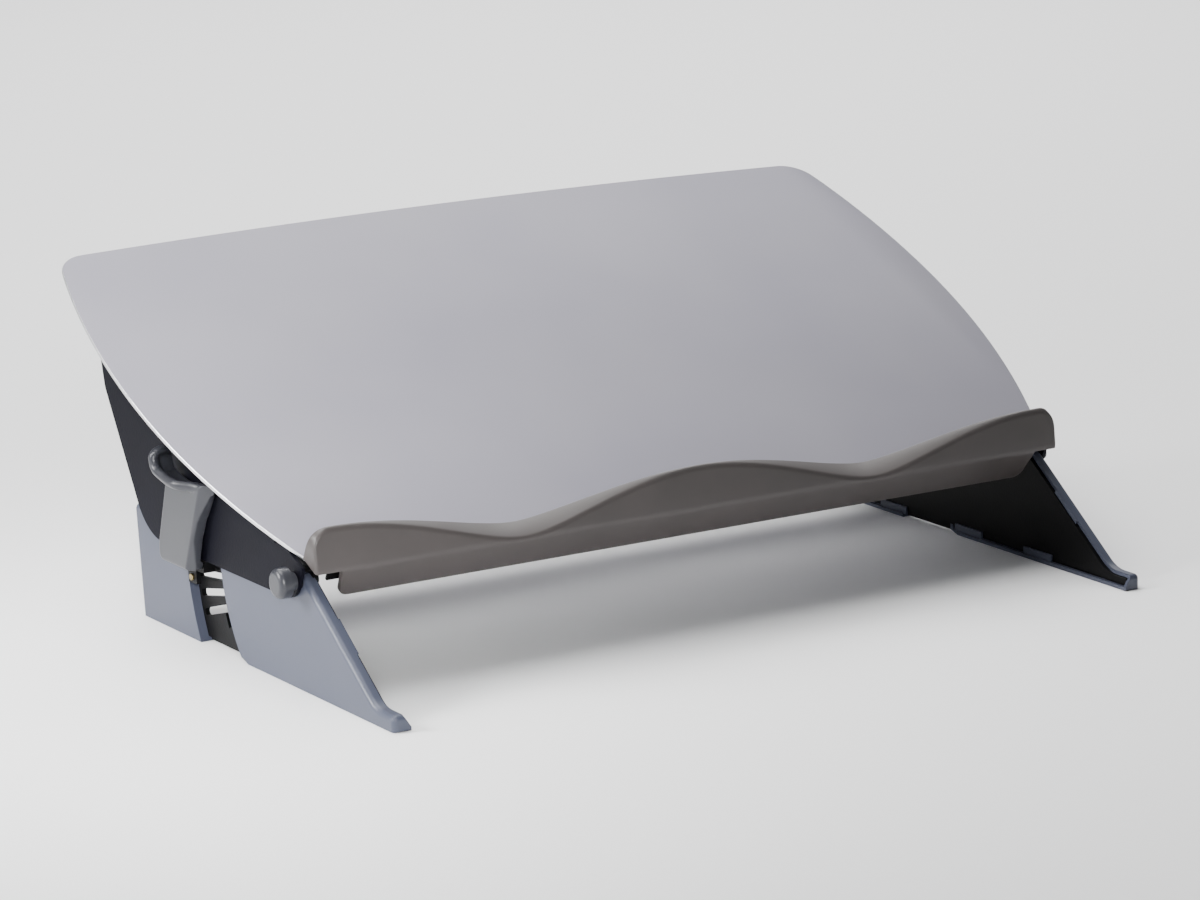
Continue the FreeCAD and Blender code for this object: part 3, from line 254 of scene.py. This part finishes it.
cover_abs = moulded_plastic("blue_grey_abs", "#404453", "#454957", 0.9, 0.40)
ledge_abs = moulded_plastic("warm_grey_abs", "#423e3d", "#474241", 0.9, 0.42)
lever_abs = moulded_plastic("lever_grey_abs", "#2d2e33", "#323338", 0.9, 0.34)
arm_coat = powder_coat("charcoal_powder_coat", "#0b0b12", "#0e0e16", 0.5, gloss=0.05)
plate_coat = powder_coat("black_powder_coat", "#060607", "#09090a", 0.5)
pawl_iron = powder_coat("phosphated_iron", "#070708", "#0c0c0d", 0.5)
board_metal = satin_aluminium()
cut_edge = bare_metal("cut_aluminium_edge", "#e4e4e8", "#f2f2f4", 0.34, 0.5)
slide_nylon = moulded_plastic("natural_nylon", "#d8d6cf", "#dedcd6", 1.2, 0.5)
zinc_steel = bare_metal("zinc_plated_steel", "#9a9ca1", "#b4b6ba", 0.35, 0.8)
pin_brass = bare_metal("drawn_brass", "#7d6d48", "#9a8a62", 0.38, 0.6)
rubber = cured_rubber()


def dress_solids():
    """Give every CAD node its finish."""
    paint(board_metal, "writing_board")
    paint(ledge_abs, "paper_ledge")
    paint(cover_abs, *both("front_cover"), *both("rear_cover"))
    paint(lever_abs, *both("release_lever"), "pivot_knob", "pivot_cap")
    paint(arm_coat, *both("side_arm"), *both("frame_rivets"))
    paint(plate_coat, *both("inner_plate"), *both("slide_rail"), "front_cross_bar",
          "rear_cross_bar", "cross_tube", "tube_plugs")
    paint(pawl_iron, *both("locking_pawl"))
    paint(pawl_iron, *both("pivot_pin"), *both("pivot_washer"))
    paint(slide_nylon, *both("slide_runner"), "slide_stop")
    paint(zinc_steel, "tube_screws", "ledge_screws", *both("lever_bracket"),
          *both("lever_hinge_pin"), *both("lever_spring"))
    paint(pin_brass, *both("pawl_pin"))
    paint(rubber, *both("foot_pads"), "rail_buffers")


# Slope: where the board and its ledge lie, in millimetres from the pivot

board_tilt = math.radians(24.7)
knob_low, knob_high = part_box("pivot_knob")
pivot = (Vector(knob_low) + Vector(knob_high)) / 2
board_top = 14.7             # pivot to the top face of the board, square to the board


def on_slope(x, run, rise):
    """Place on the slope: across, along the board and square to it, in millimetres."""
    back = run * math.cos(board_tilt) - rise * math.sin(board_tilt)
    up = run * math.sin(board_tilt) + rise * math.cos(board_tilt)
    return Vector((x / 1000, pivot.y + back / 1000, pivot.z + up / 1000))


def by_pivot(x, back, up):
    """Place in upright directions from the pivot, in millimetres."""
    return Vector((x / 1000, pivot.y + back / 1000, pivot.z + up / 1000))


# Modelling helpers

def select_only(piece):
    """Make one object the selected and the active one."""
    bpy.ops.object.select_all(action="DESELECT")
    piece.select_set(True)
    bpy.context.view_layer.objects.active = piece


def loft(name, rings):
    """Closed body drawn out of a first ring, ring by ring; all have as many points."""
    bpy.ops.object.select_all(action="DESELECT")
    bpy.ops.mesh.primitive_circle_add(vertices=len(rings[0]), fill_type="NGON")
    piece = bpy.context.object
    piece.name = name
    bpy.ops.object.mode_set(mode="EDIT")
    bpy.ops.mesh.select_all(action="SELECT")
    order = list(range(len(rings[0])))
    for index, ring in enumerate(rings):
        if index > 0:
            bpy.ops.mesh.extrude_region_move()
        mesh = bmesh.from_edit_mesh(piece.data)
        mesh.verts.index_update()
        mesh.verts.ensure_lookup_table()
        if index > 0:
            order = [next_in_line(mesh.verts[number]) for number in order]
        for number, place in zip(order, ring):
            mesh.verts[number].co = place
        bmesh.update_edit_mesh(piece.data)
    bpy.ops.mesh.select_all(action="SELECT")
    bpy.ops.mesh.normals_make_consistent(inside=False)
    bpy.ops.object.mode_set(mode="OBJECT")
    return piece


def next_in_line(vertex):
    """Number of the new vertex that was drawn out of an old one."""
    for edge in vertex.link_edges:
        other = edge.other_vert(vertex)
        if other.select and not vertex.select:
            return other.index
    return vertex.index


def rounded(corners, closed=True, steps=6):
    """Points of an outline; each corner is (first, second, radius)."""
    points = []
    count = len(corners)
    for index, (first, second, radius) in enumerate(corners):
        here = Vector((first, second))
        if radius <= 0 or (not closed and index in (0, count - 1)):
            points.append(here)
            continue
        before = Vector(corners[index - 1][:2]) - here
        after = Vector(corners[(index + 1) % count][:2]) - here
        before.normalize()
        after.normalize()
        half = before.angle(after) / 2
        centre = here + (before + after).normalized() * (radius / math.sin(half))
        start = here + before * (radius / math.tan(half)) - centre
        turn = math.pi - 2 * half
        if before.x * after.y - before.y * after.x > 0:
            turn = -turn
        for step in range(steps + 1):
            angle = turn * step / steps
            points.append(centre + Vector((
                start.x * math.cos(angle) - start.y * math.sin(angle),
                start.x * math.sin(angle) + start.y * math.cos(angle))))
    return points


def finish_piece(piece, material, slot, body, *solids):
    """Smooth a piece, give it its material and let it stand for CAD solids."""
    select_only(piece)
    bpy.ops.object.shade_smooth_by_angle(angle=math.radians(32))
    piece.data.materials.clear()
    piece.data.materials.append(material)
    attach(piece, body)
    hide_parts(*solids)


# Ledge: a wavy fin with three crests and two dips, and a skirt below

nose_run = -15.5             # pivot to the foot of the ledge's front, along the board
ledge_half = 250.2
ledge_height = 20.3
ledge_lean = 0.6             # run per rise of the sloping front
ledge_crest = 3.2
ledge_low = 1.0              # height left in the two dips
ledge_dip = 118.5            # middle to the lowest place of a dip
ledge_softness = 0.012       # rounds the bottom of the dips; 0 leaves them sharper
ledge_corner = 10.0
ledge_lap = 0.4
ledge_end_round = 1.8
board_start = 0.6
skirt_depth = 20.3
skirt_back = 3.3             # how far the skirt leans back
skirt_wall = 3.0
skirt_half = 234.2
skirt_taper = 2.4
skirt_corner = 6.5
tongue_half = 226.4
nose_soft = 2.36             # height of the soft nose, above and below the board


def crest_height(x):
    """Height of the ledge above the board at a distance from the middle."""
    x = abs(x)
    from_end = x - (ledge_half - ledge_corner)
    if from_end > 0:
        return ledge_height - ledge_corner + math.sqrt(max(ledge_corner ** 2 - from_end ** 2, 0))
    if x > 2 * ledge_dip:
        return ledge_height
    wave = math.cos(math.pi * x / (2 * ledge_dip)) ** 2
    least = ledge_softness ** 0.68
    most = (1 + ledge_softness) ** 0.68
    share = ((wave + ledge_softness) ** 0.68 - least) / (most - least)
    return ledge_low + (ledge_height - ledge_low) * share


def front_run(height):
    """Run of the ledge's front at a height above the board: skirt, soft nose and fin."""
    slope = -skirt_back / skirt_depth
    if height > nose_soft:
        return nose_run + ledge_lean * height
    if height < -nose_soft:
        return nose_run + slope * height
    rise = height + nose_soft
    bend = (ledge_lean - slope) / (4 * nose_soft)
    return nose_run - slope * nose_soft + slope * rise + bend * rise ** 2


def back_run(height):
    """Run of the ledge's back at a height above the board."""
    crest = nose_run + ledge_lean * ledge_height + ledge_crest
    return board_start + (crest - board_start) * height / ledge_height


def soft_corner(first, corner, last, steps):
    """Points of a soft curve from first to last that leans towards corner."""
    points = []
    for step in range(steps + 1):
        part = step / steps
        points.append(tuple(
            (1 - part) ** 2 * first[axis] + 2 * part * (1 - part) * corner[axis]
            + part ** 2 * last[axis] for axis in (0, 1)))
    return points


def ledge_ring(x, depth, inset):
    """Section of the ledge at x, with its skirt depth deep and its front set back."""
    top = crest_height(x) - inset
    under = 0.02 if abs(x) < tongue_half else -ledge_lap
    thick = back_run(top) - front_run(top) - inset
    rim = min(1.9, 0.6 * thick)
    rear = min(0.8, 0.25 * thick)
    foot = min(0.8, 0.3 * depth)
    low = foot - depth
    high = top - rim
    levels = (low, -nose_soft, -1.2, 0, 1.2, nose_soft, (nose_soft + high) / 2, high)
    section = soft_corner((front_run(-depth) + foot, -depth), (front_run(-depth), -depth),
                          (front_run(low), low), 3)[:-1]
    for index, level in enumerate(levels):
        level = max(level, low + 0.004 * index)
        level = min(level, high - 0.004 * (len(levels) - index))
        section.append((front_run(level), level))
    section += soft_corner((front_run(high), high), (front_run(top), top),
                           (front_run(top) + rim, top), 4)
    section = [(run + inset, level) for run, level in section]
    section += soft_corner((back_run(top) - rear, top), (back_run(top), top),
                           (back_run(top - rear), top - rear), 2)
    section.append((board_start, under))
    section.append((nose_run + skirt_wall + inset, under))
    inner = front_run(-depth) + skirt_wall + inset
    section += soft_corner((inner, low + 0.01), (inner, -depth), (inner - foot, -depth), 3)
    return [on_slope(x, run, board_top + level) for run, level in section]


def ledge_stations():
    """Distances from the middle with the skirt's depth and the front's set-back."""
    bare = ledge_lap + 0.02
    low_half = skirt_half - skirt_taper
    stations = [(4.0 * step, skirt_depth, 0) for step in range(56)]
    for angle in range(0, 90, 12):
        turn = math.radians(angle)
        stations.append((low_half - skirt_corner * (1 - math.sin(turn)),
                         skirt_depth - skirt_corner * (1 - math.cos(turn)), 0))
    stations.append((tongue_half - 0.02, skirt_depth - 0.2, 0))
    stations.append((tongue_half + 0.02, skirt_depth - 0.2, 0))
    for part in (0.25, 0.5, 0.75, 1):
        deepest = skirt_depth - skirt_corner
        stations.append((low_half + skirt_taper * part, deepest + (bare - deepest) * part, 0))
    for x in (235.6, 237, 238.6, 240.2, 241.6, 243, 244.5, 246, 247.3):
        stations.append((x, bare, 0))
    for angle in range(0, 91, 15):
        turn = math.radians(angle)
        stations.append((ledge_half - ledge_end_round * (1 - math.sin(turn)), bare,
                         ledge_end_round * (1 - math.cos(turn))))
    return sorted(stations)


def make_ledge():
    """Moulded ledge with softly rounded rims, from its left end to its right end."""
    right = ledge_stations()
    left = [(-x, depth, inset) for x, depth, inset in reversed(right[1:])]
    piece = loft("wavy_ledge", [ledge_ring(*station) for station in left + right])
    finish_piece(piece, ledge_abs, "ledge_grey", "platform", "paper_ledge")


# Board: one thin sheet with bowed sides and a softened cut edge

board_thick = 2.5
board_half_front = 249.0
board_half_max = 279.5
board_wide_run = 160.2
board_half_end = 260.0
board_corner_run = 299.0
board_end_run = 305.6
board_corner = 20.0
tongue_front = -12.3


def bow(widest, narrow, length, distance):
    """How far out a bowed side is at a distance from its widest place."""
    drop = widest - narrow
    radius = (length ** 2 + drop ** 2) / (2 * drop)
    return widest - radius + math.sqrt(radius ** 2 - distance ** 2)


def board_outline():
    """Outline of the board as points of X and run, from the front right corner on."""
    side = []
    for step in range(14):
        run = board_start + (board_wide_run - board_start) * step / 14
        out = bow(board_half_max, board_half_front, board_wide_run - board_start,
                  board_wide_run - run)
        side.append((out, run, 0))
    for step in range(11):
        run = board_wide_run + (board_corner_run - 23 - board_wide_run) * step / 10
        out = bow(board_half_max, board_half_end, board_corner_run - board_wide_run,
                  run - board_wide_run)
        side.append((out, run, 0))
    side.append((board_half_end, board_corner_run, board_corner))
    far = []
    for step in range(19):
        x = 236 - 236 * step / 9
        far.append((x, bow(board_end_run, board_corner_run, board_half_end, x), 0))
    other = [(-x, run, radius) for x, run, radius in reversed(side)]
    inner = tongue_half - 0.2
    tongue = [(-inner, board_start, 0), (-inner, tongue_front, 0),
              (inner, tongue_front, 0), (inner, board_start, 0)]
    return rounded(side + far + other + tongue, steps=10)


def make_board():
    """Writing board with its rim bevelled round and the cut edge left bright."""
    outline = board_outline()
    rings = []
    for rise in (board_top - board_thick, board_top):
        rings.append([on_slope(x, run, rise) for x, run in outline])
    piece = loft("board_sheet", rings)
    up = (on_slope(0, 0, 1) - on_slope(0, 0, 0)).normalized()
    select_only(piece)
    bpy.ops.object.mode_set(mode="EDIT")
    bpy.ops.mesh.select_mode(type="EDGE")
    bpy.ops.mesh.select_all(action="DESELECT")
    mesh = bmesh.from_edit_mesh(piece.data)
    for edge in mesh.edges:
        along = (edge.verts[1].co - edge.verts[0].co).normalized()
        edge.select = abs(along.dot(up)) < 0.5
    bmesh.update_edit_mesh(piece.data)
    bpy.ops.mesh.bevel(offset=0.0006, segments=3, clamp_overlap=True)
    bpy.ops.mesh.select_mode(type="VERT")
    bpy.ops.object.mode_set(mode="OBJECT")
    finish_piece(piece, board_metal, "board_silver", "platform", "writing_board")
    piece.data.materials.append(cut_edge)
    for face in piece.data.polygons:
        if abs(face.normal.dot(up)) < 0.75:
            face.material_index = 1


# Levers: a soft moulded body, cut from its solid, with a dished scoop on top

lever_inner = 255.4          # middle of the slope to the inner side of the scoop
lever_outer = 262.0          # and to the outer face of the lever
scoop_out = 8.5
scoop_thick = 5.8
scoop_dish = 3.6             # depth of the dish below the bead round it
scoop_corner = 3.0
scoop_end = 8.0              # radius of the scoop's tip as seen from outside
lever_cut = 30.2             # pivot up to where the body is cut and the scoop begins


def scoop_ring(place, along, covered, left):
    """Section of the scoop: covered millimetres from its front, left ones to its tip."""
    inward = Vector((-along.y, along.x))
    spread = min(max((place.x - 94) / 18, 0), 1)
    outer = lever_outer + scoop_out * spread ** 2 * (3 - 2 * spread)
    if left < scoop_end:
        outer -= scoop_end - math.sqrt(scoop_end ** 2 - (scoop_end - left) ** 2)
    bead = scoop_thick / 2
    shut = min(left / (1.6 * scoop_thick), 1)
    floor = scoop_thick - scoop_dish * shut ** 2 * (3 - 2 * shut)
    section = [(lever_inner, 0), ((lever_inner + outer - scoop_corner) / 2, 0)]
    for step in range(7):
        turn = math.radians(15 * step)
        section.append((outer - scoop_corner * (1 - math.sin(turn)), bead * (1 - math.cos(turn))))
    for step in range(1, 8):
        turn = math.radians(20 * step)
        high = bead + bead * math.sin(turn)
        section.append((outer - bead + bead * math.cos(turn), max(high, floor + 0.5)))
    near = max(outer - 2 * bead - 1.2, lever_inner + 0.4)
    section.append((near, floor + 0.2))
    section.append(((near + lever_inner) / 2, floor))
    section.append((lever_inner, floor + 0.1))
    share = 1
    for distance, radius in ((left, bead), (covered, 1.2)):
        if distance < radius:
            share = min(share, math.sqrt(max(1 - (1 - distance / radius) ** 2, 0.003)))
    ring = []
    for out, height in section:
        height = bead + (height - bead) * share
        point = place + inward * height
        ring.append(by_pivot(-out, point.x, point.y))
    return ring


def scoop_rings():
    """Sections along the scoop, from under the board's edge to its curled tip."""
    line = rounded([(86.5, 30.5, 0), (118, 31.7, 40), (136.5, 35.7, 10), (140.2, 44.5, 10),
                    (138.2, 52.0, 0)], closed=False, steps=10)
    legs = [(line[index + 1] - line[index]).length for index in range(len(line) - 1)]
    total = sum(legs)
    marks = [0, 0.3, 0.7, 1.2]
    marks += [2 + step for step in range(int(total - 11))]
    marks += [total - rest for rest in (8, 7, 6, 5, 4.2, 3.4, 2.9, 2.2, 1.5, 0.9, 0.4, 0.1, 0)]
    rings = []
    for mark in marks:
        rest = mark
        index = 0
        while index < len(legs) - 1 and rest > legs[index]:
            rest -= legs[index]
            index += 1
        along = (line[index + 1] - line[index]).normalized()
        rings.append(scoop_ring(line[index] + along * rest, along, mark, total - mark))
    return rings


def lever_body():
    """Copy of the left lever's solid, merged and cut off below its scoop."""
    source = nodes["release_lever_left"]
    select_only(source)
    bpy.ops.object.duplicate()
    piece = bpy.context.object
    for mark in list(piece.keys()):
        del piece[mark]          # the copy is a new piece, no longer the solid itself
    bpy.ops.object.mode_set(mode="EDIT")
    bpy.ops.mesh.select_all(action="SELECT")
    bpy.ops.mesh.remove_doubles(threshold=0.00001)
    bpy.ops.mesh.bisect(plane_co=by_pivot(0, 0, lever_cut), plane_no=(0, 0, 1),
                        use_fill=True, clear_outer=True)
    bpy.ops.mesh.extrude_region_move(TRANSFORM_OT_translate={"value": (0, 0, 0.0028)})
    bpy.ops.object.mode_set(mode="OBJECT")
    return piece


def slant_front(piece):
    """Draw the upper front corner of the left lever in to a slanting plane."""
    facing = Vector((-250, -214, -85)).normalized()
    anchor = by_pivot(-lever_outer, 94.6, 31)
    for vertex in piece.data.vertices:
        beyond = (vertex.co - anchor).dot(facing)
        if vertex.normal.dot(facing) < -0.3 and vertex.co.x < -0.256:
            beyond += 0.0018
        if beyond > 0 and vertex.co.x < -0.2535:
            vertex.co -= facing * beyond


def make_levers():
    """Both levers: body and scoop run together and softened as in a mould."""
    scoop = loft("scoop", scoop_rings())
    piece = lever_body()
    piece.name = "soft_lever_left"
    scoop.select_set(True)
    bpy.context.view_layer.objects.active = piece
    bpy.ops.object.join()
    melt = piece.modifiers.new("melt", "REMESH")
    melt.mode = "VOXEL"
    melt.voxel_size = 0.00045
    ease = piece.modifiers.new("ease", "SMOOTH")
    ease.factor = 0.5
    ease.iterations = 12
    select_only(piece)
    bpy.ops.object.modifier_apply(modifier="melt")
    slant_front(piece)
    bpy.ops.object.modifier_apply(modifier="ease")
    bpy.ops.object.duplicate()
    other = bpy.context.object
    other.name = "soft_lever_right"
    bpy.ops.object.mode_set(mode="EDIT")
    bpy.ops.mesh.select_all(action="SELECT")
    bpy.ops.transform.resize(value=(-1, 1, 1), center_override=(0, 0, 0))
    bpy.ops.mesh.normals_make_consistent(inside=False)
    bpy.ops.object.mode_set(mode="OBJECT")
    finish_piece(piece, lever_abs, "lever_grey", "lever_left", "release_lever_left")
    finish_piece(other, lever_abs, "lever_grey", "lever_right", "release_lever_right")


# Studio

def area_light(name, place, target, size, power, spread=180):
    """Square soft light that looks at a point; a grid in front narrows its spread."""
    lamp = bpy.data.lights.new(name, "AREA")
    lamp.shape = "SQUARE"
    lamp.size = size
    lamp.energy = power
    lamp.spread = math.radians(spread)
    light = bpy.data.objects.new(name, lamp)
    light.location = place
    aim = Vector(target) - Vector(place)
    light.rotation_euler = aim.to_track_quat("-Z", "Y").to_euler()
    bpy.context.collection.objects.link(light)


def studio():
    """Pale floor, even pale surroundings and soft lights, the strongest from the left."""
    bpy.ops.object.select_all(action="DESELECT")
    bpy.ops.mesh.primitive_plane_add(size=14)
    floor = bpy.context.object
    floor.name = "studio_floor"
    material = new_material("pale_paper", "#fbfbfb")
    tree = material.node_tree
    shader = add_node(tree, "BsdfPrincipled", {
        "Base Color": linear("#fbfbfb"), "Roughness": 0.9, "Specular IOR Level": 0.1})
    finish_surface(tree, shader)
    floor.data.materials.append(material)
    world = bpy.data.worlds.new("studio_air")
    world.use_nodes = True
    world.node_tree.nodes["Background"].inputs["Color"].default_value = linear("#eef0f4")
    world.node_tree.nodes["Background"].inputs["Strength"].default_value = 0.24
    bpy.context.scene.world = world
    area_light("key_left", (-1.25, 0.35, 0.55), (-0.42, -0.02, 0.03), 0.5, 2.6, 46)
    area_light("front_soft", (-0.8, -1.05, 0.45), (-0.36, -0.12, 0.09), 0.4, 1.1, 36)
    area_light("top_soft", (-0.6, 0.5, 2.2), (-0.25, 0, 0), 1.6, 68)
    area_light("far_soft", (1.3, 2.3, 2.2), (1.3, 2.3, 0), 2.6, 110)


place_camera()
dress_solids()
make_ledge()
make_board()
make_levers()
studio()
